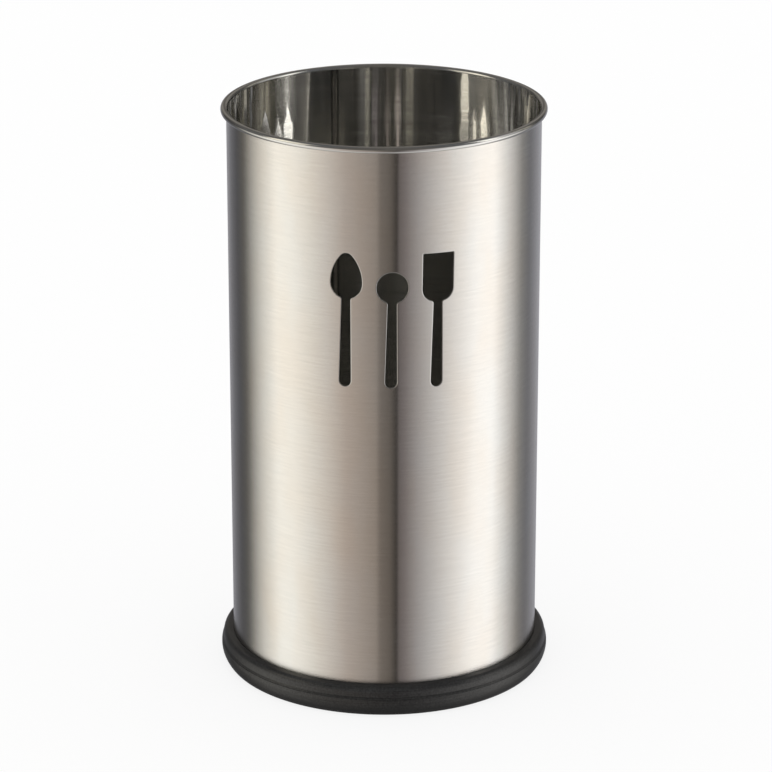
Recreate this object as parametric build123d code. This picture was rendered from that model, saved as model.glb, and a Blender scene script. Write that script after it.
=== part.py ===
from build123d import *
import math
import os

os.makedirs("parts", exist_ok=True)

# Utensil crock: a rolled steel tube with a curled rim and three cut-out utensil figures,
# a pressed bottom hooked to the tube's foot, and a moulded ring snapped over that seam.
# Millimetres and degrees. Z is up, the origin is the centre of the underside, and the
# figures face -Y.

# Whole object
overall_height = 189.8
body_diameter = 101.0
sheet_thickness = 0.4

# Rim, the sheet curled outward into a hollow bead
bead_diameter = 2.2
curl_gap = 0.1

# Weld up the inside of the tube
weld_width = 1.8
weld_height = 0.08
weld_azimuth = 106.7

# Seam at the foot, where the bottom's edge is hooked round the tube's flange
flange_width = 1.3
flange_bend_radius = 0.5
seam_gap = 0.05

# Pressed bottom
floor_rise = 4.2
floor_bend_radius = 1.2
panel_margin = 11.0
panel_step = 0.6
panel_step_run = 1.5
panel_bend_radius = 1.5

# Cut-out figures: they hang from one line below the rim and stand on one foot line
figures_below_rim = 34.9
figure_length = 43.8
figure_pitch = 14.6
figure_lean = 0.85
handle_foot_width = 3.85
handle_neck_width = 2.85
neck_fillet = 0.8
spoon_bowl_width = 10.2
spoon_bowl_length = 14.9
spoon_tip_radius = 2.34
ladle_length = 38.0
ladle_bowl_diameter = 10.06
blade_width = 10.25
blade_length = 15.6
blade_neck_corner = 4.0
blade_end_corner = 0.4

# Base ring
ring_height = 10.3
ring_wall = 1.9
foot_tuck = 1.7
widest_height = 4.5
groove_height = 5.9
groove_width = 0.3
groove_depth = 0.3
band_step = 0.5
lip_taper = 0.9
lip_clearance = 0.45
lip_land = 1.5
lip_slope = 1.2
lip_outer_round = 0.7
lip_inner_round = 0.8
ledge_thickness = 1.8
ledge_width = 6.6
seam_clearance = 0.15
snap_hold = 0.7
snap_land = 0.8
snap_ramp = 1.1
ring_edge_round = 0.3

# How far a cutter reaches past what it cuts
cutter_overrun = 1.0

# Tube
body_radius = body_diameter / 2
inner_radius = body_radius - sheet_thickness
wall_radius = body_radius - sheet_thickness / 2
bead_radius = bead_diameter / 2
bead_height = overall_height - bead_radius
bead_centre_radius = inner_radius + bead_radius

# Layers of the seam, middle of each sheet
layer_pitch = sheet_thickness + seam_gap
hook_height = ledge_thickness + sheet_thickness / 2
flange_height = hook_height + layer_pitch
flange_radius = body_radius + flange_width
seam_radius = flange_radius + layer_pitch + sheet_thickness / 2
seam_top = flange_height + layer_pitch + sheet_thickness / 2

# Floor, middle of the sheet
floor_height = ledge_thickness + floor_rise
chuck_radius = wall_radius - layer_pitch
panel_radius = chuck_radius - panel_margin
panel_height = floor_height + panel_step

# Line that the figures stand on
figure_foot_height = overall_height - figures_below_rim - figure_length

# Base ring
cavity_radius = seam_radius + seam_clearance
ring_radius = cavity_radius + ring_wall


def sheet_revolved(*lines):
    """Sheet of even thickness turned about Z, from the middle line of its section."""
    section = trace(lines, sheet_thickness)
    return revolve(Plane.XZ * section, Axis.Z)


def rounded(face, corners):
    """The face with each listed corner filleted to its own radius."""
    for point, radius in corners:
        corner = face.vertices().sort_by_distance(point)[0]
        face = fillet(corner, radius)
    return face


def tube():
    """Flange, wall and curled rim, one sheet."""
    foot = FilletPolyline(
        (flange_radius, flange_height),
        (wall_radius, flange_height),
        (wall_radius, bead_height),
        radius=flange_bend_radius,
    )
    curl_reach = bead_centre_radius - body_radius - curl_gap
    curl_end_angle = math.degrees(math.acos(curl_reach / bead_radius))
    curl = CenterArc(
        (bead_centre_radius, bead_height),
        bead_radius - sheet_thickness / 2,
        start_angle=180,
        arc_size=curl_end_angle - 360,
    )
    return sheet_revolved(foot, curl)


def weld():
    """Low flat bead that stands in from the wall, from above the floor to the rim."""
    weld_foot = panel_height + floor_bend_radius
    weld_length = bead_height - weld_foot
    bead = Cylinder(wall_radius, weld_length) - Cylinder(inner_radius - weld_height, weld_length)
    width = Pos(X=wall_radius) * Box(2 * cutter_overrun, weld_width, weld_length)
    strip = Pos(Z=weld_foot + weld_length / 2) * (bead & width)
    return Rot(Z=weld_azimuth) * strip


def handle(figure_height, bowl_length):
    """Tapered handle with a round end, from the foot line up into the bowl."""
    bowl_foot = figure_height - bowl_length
    foot = Pos(Y=handle_foot_width / 2) * Circle(handle_foot_width / 2)
    neck = Pos(Y=bowl_foot + handle_neck_width / 2) * Circle(handle_neck_width / 2)
    return make_hull(foot.edges() + neck.edges())


def with_handle(bowl, figure_height, bowl_length):
    """Bowl and handle as one outline, with a fillet each side of the neck."""
    bowl_foot = figure_height - bowl_length
    outline = handle(figure_height, bowl_length) + Pos(Y=bowl_foot) * bowl
    neck_corners = outline.vertices().sort_by_distance((0, bowl_foot))[:2]
    return fillet(neck_corners, neck_fillet)


def spoon():
    """Egg-shaped bowl: a half circle, two long side arcs and a small tip arc."""
    half_width = spoon_bowl_width / 2
    tip_height = spoon_bowl_length - spoon_tip_radius
    rise = tip_height - half_width
    spread = half_width - spoon_tip_radius
    side_radius = (half_width**2 - spoon_tip_radius**2 + rise**2) / (2 * spread)
    tip_share = spoon_tip_radius / (side_radius - spoon_tip_radius)
    tangent_x = (side_radius - half_width) * tip_share
    tangent_y = tip_height + rise * tip_share
    back = ThreePointArc((-half_width, half_width), (0, 0), (half_width, half_width))
    right = TangentArc((half_width, half_width), (tangent_x, tangent_y), tangent=(0, 1))
    tip = ThreePointArc((tangent_x, tangent_y), (0, spoon_bowl_length), (-tangent_x, tangent_y))
    left = TangentArc((-half_width, half_width), (-tangent_x, tangent_y), tangent=(0, 1))
    bowl = make_face(back + right + tip + left)
    return with_handle(bowl, figure_length, spoon_bowl_length)


def ladle():
    """Round bowl on a shorter handle."""
    bowl = Pos(Y=ladle_bowl_diameter / 2) * Circle(ladle_bowl_diameter / 2)
    return with_handle(bowl, ladle_length, ladle_bowl_diameter)


def spatula():
    """Square-ended blade whose corners are well rounded towards the handle."""
    blade = Rectangle(blade_width, blade_length, align=(Align.CENTER, Align.MIN))
    half_width = blade_width / 2
    corners = []
    for side in (-half_width, half_width):
        corners.append(((side, 0), blade_neck_corner))
        corners.append(((side, blade_length), blade_end_corner))
    return with_handle(rounded(blade, corners), figure_length, blade_length)


def figure_cutters():
    """Each figure pushed square through the wall, the row of three leaning as one."""
    lean = math.radians(figure_lean)
    cutters = []
    for place, figure in ((-1, spoon()), (0, ladle()), (1, spatula())):
        turn = math.degrees(place * figure_pitch * math.cos(lean) / body_radius)
        foot = figure_foot_height - place * figure_pitch * math.sin(lean)
        start = Plane.XZ.offset(body_radius + cutter_overrun)
        outline = start * (Pos(Y=foot) * Rot(Z=-figure_lean) * figure)
        depth = sheet_thickness + 2 * cutter_overrun
        cutters.append(Rot(Z=turn) * extrude(outline, -depth))
    return cutters


def shell():
    """Tube with its weld and the cut-out figures."""
    body = tube() + weld()
    for cutter in figure_cutters():
        body -= cutter
    return body


def bottom_disc():
    """Floor with a raised panel, a wall down inside the tube, and the seam hook."""
    floor = FilletPolyline(
        (0, panel_height),
        (panel_radius, panel_height),
        (panel_radius + panel_step_run, floor_height),
        (chuck_radius, floor_height),
        (chuck_radius, hook_height),
        (flange_radius, hook_height),
        radius=(
            panel_bend_radius,
            panel_bend_radius,
            floor_bend_radius,
            flange_bend_radius + layer_pitch,
        ),
    )
    hem = CenterArc((flange_radius, flange_height), layer_pitch, start_angle=-90, arc_size=180)
    hook_top = flange_height + layer_pitch
    hook = Line((flange_radius, hook_top), (wall_radius + flange_bend_radius, hook_top))
    return sheet_revolved(floor, hem, hook)


def ring_outside():
    """Two convex bands with a fine groove between them, from the foot to the lip."""
    band_radius = (foot_tuck**2 + widest_height**2) / (2 * foot_tuck)
    band_top = groove_height - groove_width / 2
    band_rise = band_top - widest_height
    band_top_radius = ring_radius - band_radius + math.sqrt(band_radius**2 - band_rise**2)
    upper_foot = groove_height + groove_width / 2
    upper_radius = ring_radius - band_step
    lower_band = ThreePointArc(
        (ring_radius - foot_tuck, 0),
        (ring_radius, widest_height),
        (band_top_radius, band_top),
    )
    groove = Polyline(
        (band_top_radius, band_top),
        (upper_radius - groove_depth, band_top),
        (upper_radius - groove_depth, upper_foot),
        (upper_radius, upper_foot),
    )
    upper_band = TangentArc(
        (upper_radius, upper_foot),
        (upper_radius - lip_taper, ring_height),
        tangent=(0, 1),
    )
    return lower_band + groove + upper_band


def base_ring():
    """Ring with a ledge under the seam, a snap bead over it and a lip near the wall."""
    lip_radius = body_radius + lip_clearance
    lip_outer = (ring_radius - band_step - lip_taper, ring_height)
    lip_inner = (lip_radius, ring_height)
    lip_foot = ring_height - lip_land
    snap_radius = seam_radius - snap_hold
    snap_foot = seam_top + seam_clearance
    snap_top = snap_foot + snap_land
    bore_radius = cavity_radius - ledge_width
    bore_top = (bore_radius, ledge_thickness)
    bore_foot = (bore_radius, 0)
    inside = Polyline(
        lip_outer,
        lip_inner,
        (lip_radius, lip_foot),
        (cavity_radius, lip_foot - lip_slope),
        (cavity_radius, snap_top + snap_ramp),
        (snap_radius, snap_top),
        (snap_radius, snap_foot),
        (cavity_radius, snap_foot),
        (cavity_radius, ledge_thickness),
        bore_top,
        bore_foot,
        (ring_radius - foot_tuck, 0),
    )
    section = make_face(ring_outside() + inside)
    corners = [
        (lip_outer, lip_outer_round),
        (lip_inner, lip_inner_round),
        ((lip_radius, lip_foot), ring_edge_round),
        (bore_top, ring_edge_round),
        (bore_foot, ring_edge_round),
    ]
    return revolve(Plane.XZ * rounded(section, corners), Axis.Z)


nodes = {
    "shell": shell(),
    "bottom_disc": bottom_disc(),
    "base_ring": base_ring(),
}

for name, solid in nodes.items():
    solid.label = name
    export_step(solid, "parts/" + name + ".step")
    box = solid.bounding_box()
    print(name, round(solid.volume, 1), box.min, box.max)
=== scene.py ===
"""Utensil crock: a brushed steel tube with a curled rim and three cut-out utensil figures,
a pressed steel bottom and a black moulded foot ring, on a plain white floor.

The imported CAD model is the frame. Everything is in metres, in the same axes: Z is up, the
origin is the centre of the underside, and the figures face -Y."""

import math

import bpy
import numpy as np
from bpy.props import FloatProperty, FloatVectorProperty, IntProperty, PointerProperty
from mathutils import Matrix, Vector
from mathutils.geometry import delaunay_2d_cdt


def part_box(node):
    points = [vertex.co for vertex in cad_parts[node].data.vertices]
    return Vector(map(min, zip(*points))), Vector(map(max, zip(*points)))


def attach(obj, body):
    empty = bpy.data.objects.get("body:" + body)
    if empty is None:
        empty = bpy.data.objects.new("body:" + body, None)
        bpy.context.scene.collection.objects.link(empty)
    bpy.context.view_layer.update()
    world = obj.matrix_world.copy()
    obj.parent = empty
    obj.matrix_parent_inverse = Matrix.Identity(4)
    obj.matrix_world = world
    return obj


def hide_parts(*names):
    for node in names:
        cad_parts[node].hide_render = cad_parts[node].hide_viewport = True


bl_info = {
    "name": "Utensil Crock",
    "version": (1, 0, 0),
    "blender": (4, 5, 0),
    "location": "View3D > Sidebar > Crock",
    "description": "Builds a brushed steel utensil crock with cut-out figures and its studio",
    "category": "Add Mesh",
}

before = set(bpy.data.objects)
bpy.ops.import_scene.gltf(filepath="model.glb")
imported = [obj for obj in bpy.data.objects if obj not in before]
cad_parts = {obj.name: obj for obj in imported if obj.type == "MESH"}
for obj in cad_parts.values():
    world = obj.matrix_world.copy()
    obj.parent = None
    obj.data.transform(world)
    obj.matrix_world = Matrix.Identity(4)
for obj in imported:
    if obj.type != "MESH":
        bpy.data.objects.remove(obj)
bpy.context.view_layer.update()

MM = 0.001

# Lengths, in metres, that are shorter than this are nothing
TINY = 1e-8

SHELL_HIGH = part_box("shell")[1]
RING_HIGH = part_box("base_ring")[1]


def length(name, text, millimetres):
    """A size that the user can change, given here in millimetres."""
    return FloatProperty(
        name=name, description=text, default=millimetres * MM,
        min=0.0, precision=5, unit="LENGTH", subtype="DISTANCE",
    )


def angle(name, text, degrees):
    """An angle that the user can change, given here in degrees."""
    return FloatProperty(
        name=name, description=text, default=math.radians(degrees),
        unit="ROTATION", subtype="ANGLE",
    )


def colour(name, text, value):
    """A linear colour that the user can change."""
    return FloatVectorProperty(
        name=name, description=text, default=value,
        size=3, min=0.0, max=1.0, subtype="COLOR",
    )


def share(name, text, value):
    """A number from 0 to 1 that the user can change."""
    return FloatProperty(
        name=name, description=text, default=value, min=0.0, max=1.0, subtype="FACTOR"
    )


class CrockTube(bpy.types.PropertyGroup):
    """Rolled and welded tube with its curled rim."""

    height: FloatProperty(
        name="Height", description="Floor to the top of the rim",
        default=SHELL_HIGH.z, unit="LENGTH", subtype="DISTANCE",
    )
    diameter: length("Diameter", "Outside of the tube", 101.0)
    sheet: length("Sheet", "Thickness of the sheet", 0.4)
    bead_diameter: length("Bead", "Outside diameter of the rim's curl", 2.2)
    curl_gap: length("Curl gap", "Space between the curl's end and the wall", 0.1)
    edge_round: length("Edge round", "Rounding of the sheet's cut edges", 0.05)
    flange_width: length("Flange", "How far the flange at the foot stands out", 1.3)
    flange_height: length("Flange height", "Middle of the flange above the floor", 2.45)
    flange_bend: length("Flange bend", "Bend radius at the middle of the sheet", 0.5)
    weld_width: length("Weld width", "Width of the weld up the inside", 1.8)
    weld_height: length("Weld height", "How far the weld stands in from the wall", 0.08)
    weld_foot: length("Weld foot", "Height at which the weld comes out of the floor", 7.8)
    weld_azimuth: angle("Weld azimuth", "Place of the weld, from +X towards +Y", 106.7)


class CrockFigures(bpy.types.PropertyGroup):
    """Spoon, ladle and spatula cut through the wall."""

    below_rim: length("Below rim", "Rim down to the tops of the tall figures", 34.9)
    tall: length("Length", "Length of the spoon and the spatula", 43.8)
    short: length("Ladle length", "Length of the ladle", 38.0)
    pitch: length("Pitch", "Spacing of the figures round the wall", 14.6)
    lean: angle("Lean", "Lean of the whole row to the right", 0.85)
    foot_width: length("Handle foot", "Width of a handle at its foot", 3.85)
    neck_width: length("Handle neck", "Width of a handle at the bowl", 2.85)
    neck_fillet: length("Neck fillet", "Rounding between handle and bowl", 0.8)
    spoon_width: length("Spoon width", "Widest part of the spoon's bowl", 10.2)
    spoon_bowl: length("Spoon bowl", "Length of the spoon's bowl", 14.9)
    spoon_tip: length("Spoon tip", "Radius of the spoon's tip", 2.34)
    ladle_bowl: length("Ladle bowl", "Diameter of the ladle's bowl", 10.06)
    blade_width: length("Blade width", "Width of the spatula's blade", 10.25)
    blade_length: length("Blade length", "Length of the spatula's blade", 15.6)
    blade_shoulder: length("Shoulder", "Blade's rounding towards the handle", 4.0)
    blade_corner: length("Corner", "Rounding of the blade's end corners", 0.4)
    roll_width: length("Roll width", "Width of the edge that the punch drew in", 0.32)
    roll_depth: length("Roll depth", "Depth of that edge", 0.08)
    inner_round: length("Inner round", "Edge rounding on the inside", 0.04)


class CrockBottom(bpy.types.PropertyGroup):
    """Pressed bottom, hooked round the tube's flange."""

    panel_height: length("Panel height", "Middle of the raised panel", 6.6)
    floor_height: length("Floor height", "Middle of the floor round the panel", 6.0)
    hook_height: length("Hook height", "Middle of the sheet under the flange", 2.0)
    seam_gap: length("Seam gap", "Space between the hooked sheets", 0.05)
    panel_margin: length("Panel margin", "Floor's wall to the raised panel", 11.0)
    step_run: length("Step run", "Width of the step up to the panel", 1.5)
    panel_bend: length("Panel bend", "Bend radius of the step", 1.5)
    floor_bend: length("Floor bend", "Bend radius at the floor's edge", 1.2)


class CrockRing(bpy.types.PropertyGroup):
    """Moulded ring snapped over the seam at the foot."""

    foot_tuck: length("Foot tuck", "How far the lower band draws in to its foot", 1.7)
    widest_height: length("Widest height", "Height of the widest place", 4.5)
    groove_height: length("Groove height", "Middle of the groove", 5.9)
    groove_width: length("Groove width", "Width of the groove", 0.3)
    groove_depth: length("Groove depth", "Depth of the groove", 0.17)
    groove_round: length("Groove round", "Rounding of the groove's edges", 0.08)
    flare: length("Flare", "How far the upper band stands out above the groove", 0.28)
    flare_height: length("Flare height", "Height of that flare", 0.55)
    band_step: length("Band step", "Upper band set in from the lower band", 0.5)
    lip_taper: length("Lip taper", "Upper band's draw-in up to the lip", 0.9)
    lip_sink: length("Lip sink", "Lip's inner edge below the ring's height", 0.35)
    lip_fall: length("Lip fall", "Lip's outer edge below the ring's height", 0.7)
    lip_clearance: length("Lip clearance", "Lip to the tube's wall", 0.03)
    lip_land: length("Lip land", "Height of the lip's straight inside", 1.5)
    lip_slope: length("Lip slope", "Height of the slope under the lip", 1.2)
    lip_outer_round: length("Lip outer round", "Rounding of the lip's outer edge", 2.0)
    lip_inner_round: length("Lip inner round", "Rounding of the lip's inner edge", 0.15)
    ledge_thickness: length("Ledge", "Thickness of the ledge under the seam", 1.8)
    ledge_width: length("Ledge width", "Width of the ledge", 6.6)
    wall: length("Wall", "Wall at the widest place", 1.9)
    snap_hold: length("Snap hold", "How far the snap bead reaches over the seam", 0.7)
    snap_land: length("Snap land", "Height of the snap bead's flat", 0.8)
    snap_ramp: length("Snap ramp", "Height of the snap bead's ramp", 1.1)
    snap_height: length("Snap height", "Foot of the snap bead", 3.25)
    snap_round: length("Snap round", "Rounding of the snap bead's edges", 0.06)
    seam_clearance: length("Seam clearance", "Seam to the ring's cavity", 0.15)
    edge_round: length("Edge round", "Rounding of the ring's hidden edges", 0.3)
    foot_round: length("Foot round", "Rounding of the resting edge", 0.25)


class CrockFinish(bpy.types.PropertyGroup):
    """Colours and finishes."""

    columns: IntProperty(
        name="Columns", description="Faces round the crock", default=384, min=48
    )
    brushed: colour("Brushed steel", "Outside of the tube", (0.62, 0.62, 0.612))
    brushed_warm: colour("Brushed, warmer", "Warmer places of the outside", (0.64, 0.612, 0.577))
    rolled: colour("Rolled steel", "Inside of the tube and the bottom", (0.72, 0.716, 0.697))
    weld: colour("Weld", "Heat tint of the weld", (0.5, 0.48, 0.45))
    plastic: colour("Plastic", "Moulded foot ring", (0.0145, 0.0145, 0.0148))
    brushed_roughness: share("Brushed roughness", "Roughness of the outside", 0.15)
    rim_roughness: share("Rim roughness", "Roughness of the curled rim", 0.16)
    rolled_roughness: share("Rolled roughness", "Roughness of the inside", 0.06)
    plastic_roughness: share("Plastic roughness", "Roughness of the ring", 0.36)


class CrockStage(bpy.types.PropertyGroup):
    """Camera, floor and light."""

    lens: FloatProperty(
        name="Lens", description="Focal length on a 36 mm sensor",
        default=167.07, unit="CAMERA",
    )
    distance: length("Distance", "Camera to the crock's axis, level", 1109.17)
    eye_height: length("Eye height", "Camera above the floor", 485.99)
    tilt: angle("Tilt", "Camera tilted down", 19.46)
    heading: angle("Heading", "Camera's place left of the figures", 2.417)
    pan: angle("Pan", "Camera panned to its right", 0.032)
    floor: colour("Floor", "Plain floor", (0.96, 0.96, 0.96))
    floor_lift: share("Floor lift", "Share of the floor's white that takes no shadow", 0.82)


SETTINGS = {
    "tube": CrockTube,
    "figures": CrockFigures,
    "bottom": CrockBottom,
    "ring": CrockRing,
    "finish": CrockFinish,
    "stage": CrockStage,
}


class CrockSettings(bpy.types.PropertyGroup):
    """All settings of the crock."""

    tube: PointerProperty(name="Tube", description="Tube", type=CrockTube)
    figures: PointerProperty(name="Figures", description="Figures", type=CrockFigures)
    bottom: PointerProperty(name="Bottom", description="Bottom", type=CrockBottom)
    ring: PointerProperty(name="Ring", description="Foot ring", type=CrockRing)
    finish: PointerProperty(name="Finish", description="Finish", type=CrockFinish)
    stage: PointerProperty(name="Stage", description="Stage", type=CrockStage)


# Strokes: a stroke is an array of rows (across, up, tangent across, tangent up). An outline
# is a closed list of strokes with the material on their left, so the outside is on the
# right. In the section of a round piece, across is the radius.


def line(start, end, shares=(0.0, 1.0)):
    """Straight stroke from start to end, with points at the given shares of its length."""
    start, end = np.array(start, float), np.array(end, float)
    run = end - start
    points = start + np.outer(np.array(shares, float), run)
    tangents = np.tile(run / np.linalg.norm(run), (len(points), 1))
    return np.hstack([points, tangents])


def arc(centre, radius, start, end, pieces):
    """Round stroke about centre, from one angle in degrees to another, either way round."""
    angles = np.radians(np.linspace(start, end, pieces + 1))
    spoke = np.stack([np.cos(angles), np.sin(angles)], 1)
    along = np.stack([-np.sin(angles), np.cos(angles)], 1) * np.sign(end - start)
    return np.hstack([np.array(centre, float) + radius * spoke, along])


def right_of(stroke):
    """Unit vectors to the right of the stroke, square to it."""
    return np.stack([stroke[:, 3], -stroke[:, 2]], 1)


def offset(stroke, distance):
    """The stroke moved to its right."""
    moved = stroke.copy()
    moved[:, :2] += distance * right_of(stroke)
    return moved


def backwards(stroke):
    """The stroke from its end to its start."""
    turned = stroke[::-1].copy()
    turned[:, 2:] *= -1
    return turned


def mirrored(stroke):
    """The stroke mirrored left to right and reversed, so that its right stays outside."""
    turned = stroke[::-1].copy()
    turned[:, 0] *= -1
    turned[:, 3] *= -1
    return turned


def heading_of(vector):
    """Direction of a vector, in degrees from the first axis towards the second."""
    return math.degrees(math.atan2(vector[1], vector[0]))


def sheet_end(stroke, thickness, rounding):
    """Cut end of a sheet, past the end of the stroke that is its middle line."""
    end, tangent = stroke[-1, :2], stroke[-1, 2:]
    side = right_of(stroke)[-1] * (thickness / 2 - rounding)
    ahead = heading_of(tangent)
    first = arc(end + side, rounding, ahead - 90, ahead, 2)
    last = arc(end - side, rounding, ahead, ahead + 90, 2)
    return [first, line(first[-1, :2], last[0, :2]), last]


def sheet_outline(middle, thickness, rounding, closed_at_start=True):
    """Outline of a sheet of even thickness from the strokes of its middle line."""
    there = [offset(stroke, thickness / 2) for stroke in middle]
    back = [backwards(offset(stroke, -thickness / 2)) for stroke in reversed(middle)]
    outline = there + sheet_end(middle[-1], thickness, rounding) + back
    if closed_at_start:
        outline += sheet_end(backwards(middle[0]), thickness, rounding)
    return outline


def rounded_path(corners, pieces=4):
    """Strokes through the corners, given as (point, rounding), from the first to the last."""
    strokes = []
    here = np.array(corners[0][0], float)
    for index in range(1, len(corners) - 1):
        corner, radius = np.array(corners[index][0], float), corners[index][1]
        after = np.array(corners[index + 1][0], float)
        before = np.array(corners[index - 1][0], float)
        if not radius:
            strokes.append(line(here, corner))
            here = corner
            continue
        incoming = (corner - before) / np.linalg.norm(corner - before)
        outgoing = (after - corner) / np.linalg.norm(after - corner)
        turn = math.atan2(
            incoming[0] * outgoing[1] - incoming[1] * outgoing[0], incoming @ outgoing
        )
        reach = radius * math.tan(abs(turn) / 2)
        start = corner - incoming * reach
        side = math.copysign(1.0, turn)
        centre = start + side * radius * np.array([-incoming[1], incoming[0]])
        first = heading_of(start - centre)
        if np.linalg.norm(start - here) > TINY:
            strokes.append(line(here, start))
        strokes.append(arc(centre, radius, first, first + math.degrees(turn), pieces))
        here = corner + outgoing * reach
    strokes.append(line(here, corners[-1][0]))
    return strokes


# Meshes


class Skin:
    """Vertices and faces of one piece, with the exact normal at each face corner."""

    def __init__(self):
        self.points = []
        self.count = 0
        self.faces = []
        self.normals = []
        self.materials = []

    def add_points(self, points):
        """Adds an array of points and returns the number of the first."""
        first = self.count
        self.points.append(points)
        self.count += len(points)
        return first

    def add_faces(self, faces, normals, material):
        """Adds an array of faces, one row of point numbers each, and their corner normals."""
        self.faces.append(np.asarray(faces))
        self.normals.append(np.asarray(normals).reshape(-1, 3))
        self.materials.append(np.broadcast_to(material, len(faces)))

    def build(self, name, materials):
        """The Blender object."""
        mesh = bpy.data.meshes.new(name)
        faces = [face for block in self.faces for face in block.tolist()]
        mesh.from_pydata(np.vstack(self.points), [], faces)
        mesh.polygons.foreach_set("use_smooth", np.ones(len(faces), bool))
        mesh.polygons.foreach_set("material_index", np.hstack(self.materials))
        for material in materials:
            mesh.materials.append(material)
        mesh.normals_split_custom_set(np.vstack(self.normals))
        mesh.update()
        piece = bpy.data.objects.new(name, mesh)
        bpy.context.scene.collection.objects.link(piece)
        return piece


def round_columns(count, extra=()):
    """Angles of the columns, from -Y towards +X, with extra ones where detail needs them.

    An even column that is close to an extra one is left out."""
    even = np.arange(count) * 2 * math.pi / count
    spacing = 2 * math.pi / count
    near = [abs((even - place + math.pi) % (2 * math.pi) - math.pi) for place in extra]
    kept = even[np.all([gap > spacing / 5 for gap in near], axis=0)] if near else even
    return np.sort(np.hstack([kept, np.array(extra) % (2 * math.pi)]))


def spun(radii, heights, angles):
    """Points at each radius and height, at each angle from -Y towards +X."""
    radii, heights = np.asarray(radii)[:, None], np.asarray(heights)[:, None]
    across, away = radii * np.sin(angles), -radii * np.cos(angles)
    return np.stack([across, away, np.broadcast_to(heights, across.shape)], 2)


def spun_normals(sides, angles):
    """Normals of a section's sides, each turned to its angle from -Y towards +X."""
    across, up = sides[..., 0], np.broadcast_to(sides[..., 1], angles.shape)
    return np.stack([across * np.sin(angles), -across * np.cos(angles), up], -1)


def outline_rows(strokes):
    """Start of each step of an outline, and the step's normals at its start and its end."""
    points, steps = [], []
    for stroke in strokes:
        sides = right_of(stroke)
        for index in range(len(stroke) - 1):
            points.append(stroke[index, :2])
            steps.append((sides[index], sides[index + 1]))
    return np.array(points), np.array(steps)


def spin(skin, strokes, angles, materials, skip=None):
    """Turns a closed outline about Z. skip(row, column) leaves out steps of the outline."""
    points, steps = outline_rows(strokes)
    rows, columns = len(points), len(angles)
    grid = spun(points[:, 0], points[:, 1], angles)
    first = skin.add_points(grid.reshape(-1, 3))
    row, column = np.meshgrid(np.arange(rows), np.arange(columns), indexing="ij")
    if skip is not None:
        kept = ~skip(row, column)
        row, column = row[kept], column[kept]
    row, column = row.ravel(), column.ravel()
    above, beside = (row + 1) % rows, (column + 1) % columns
    corners = [(row, column), (row, beside), (above, beside), (above, column)]
    faces = np.stack([first + r * columns + c for r, c in corners], 1)
    ends = [steps[row, 0], steps[row, 0], steps[row, 1], steps[row, 1]]
    normals = [spun_normals(end, angles[place]) for (_, place), end in zip(corners, ends)]
    skin.add_faces(faces, np.stack(normals, 1), np.asarray(materials)[row])


# Figures, each as the right half of its outline from the foot to the top, in its own
# place: across, and up from the foot of its handle


def handle_side(figures, bowl_foot):
    """Right side of a handle: the arc at its foot and the direction of its straight side."""
    foot, neck = figures.foot_width / 2, figures.neck_width / 2
    rise = bowl_foot + neck - foot
    taper = math.degrees(math.asin((foot - neck) / rise))
    return arc((0, foot), foot, -90, taper, 12), taper


def neck_arcs(figures, bowl_foot, centre, radius, end):
    """Handle's side, the fillet at the neck and the bowl's arc up to the angle end."""
    foot_arc, taper = handle_side(figures, bowl_foot)
    fillet = figures.neck_fillet
    out = np.array([math.cos(math.radians(taper)), math.sin(math.radians(taper))])
    along = np.array([-out[1], out[0]])
    foot = foot_arc[-1, :2]
    to_bowl = np.array(centre) - foot
    aside = to_bowl @ out - fillet
    ahead = to_bowl @ along - math.sqrt((radius + fillet) ** 2 - aside**2)
    fillet_centre = foot + along * ahead + out * fillet
    meet = heading_of(fillet_centre - np.array(centre))
    bend = arc(fillet_centre, fillet, 180 + taper, 180 + meet, 6)
    side = line(foot, bend[0, :2], np.linspace(0, 1, 40))
    bowl = arc(centre, radius, meet, end, 30)
    return [foot_arc, side, bend, bowl]


def spoon_half(figures):
    """Egg-shaped bowl: a half circle, a long side arc and a small tip arc."""
    half, tip = figures.spoon_width / 2, figures.spoon_tip
    bowl_foot = figures.tall - figures.spoon_bowl
    rise = figures.spoon_bowl - tip - half
    side = (half**2 - tip**2 + rise**2) / (2 * (half - tip))
    lean = math.degrees(math.atan2(rise, side - half))
    strokes = neck_arcs(figures, bowl_foot, (0, bowl_foot + half), half, 0)
    strokes.append(arc((half - side, bowl_foot + half), side, 0, lean, 24))
    strokes.append(arc((0, figures.tall - tip), tip, lean, 90, 10))
    return strokes


def ladle_half(figures):
    """Round bowl on a shorter handle."""
    radius = figures.ladle_bowl / 2
    bowl_foot = figures.short - figures.ladle_bowl
    return neck_arcs(figures, bowl_foot, (0, bowl_foot + radius), radius, 90)


def spatula_half(figures):
    """Square-ended blade, well rounded towards the handle."""
    half, shoulder, corner = (
        figures.blade_width / 2, figures.blade_shoulder, figures.blade_corner
    )
    bowl_foot = figures.tall - figures.blade_length
    centre = (half - shoulder, bowl_foot + shoulder)
    strokes = neck_arcs(figures, bowl_foot, centre, shoulder, 0)
    top = figures.tall
    strokes.append(line((half, centre[1]), (half, top - corner), np.linspace(0, 1, 20)))
    strokes.append(arc((half - corner, top - corner), corner, 0, 90, 6))
    strokes.append(line((half - corner, top), (0, top), np.linspace(0, 1, 10)))
    return strokes


def whole_figure(half):
    """Closed figure from its right half: rows of across, up and the normal out of it."""
    strokes = half + [mirrored(stroke) for stroke in reversed(half)]
    rows = []
    for stroke in strokes:
        sides = right_of(stroke)
        rows.append(np.hstack([stroke[:-1, :2], sides[:-1]]))
    rows = np.vstack(rows)
    gaps = np.linalg.norm(np.roll(rows[:, :2], -1, 0) - rows[:, :2], axis=1)
    return rows[gaps > TINY]


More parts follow.
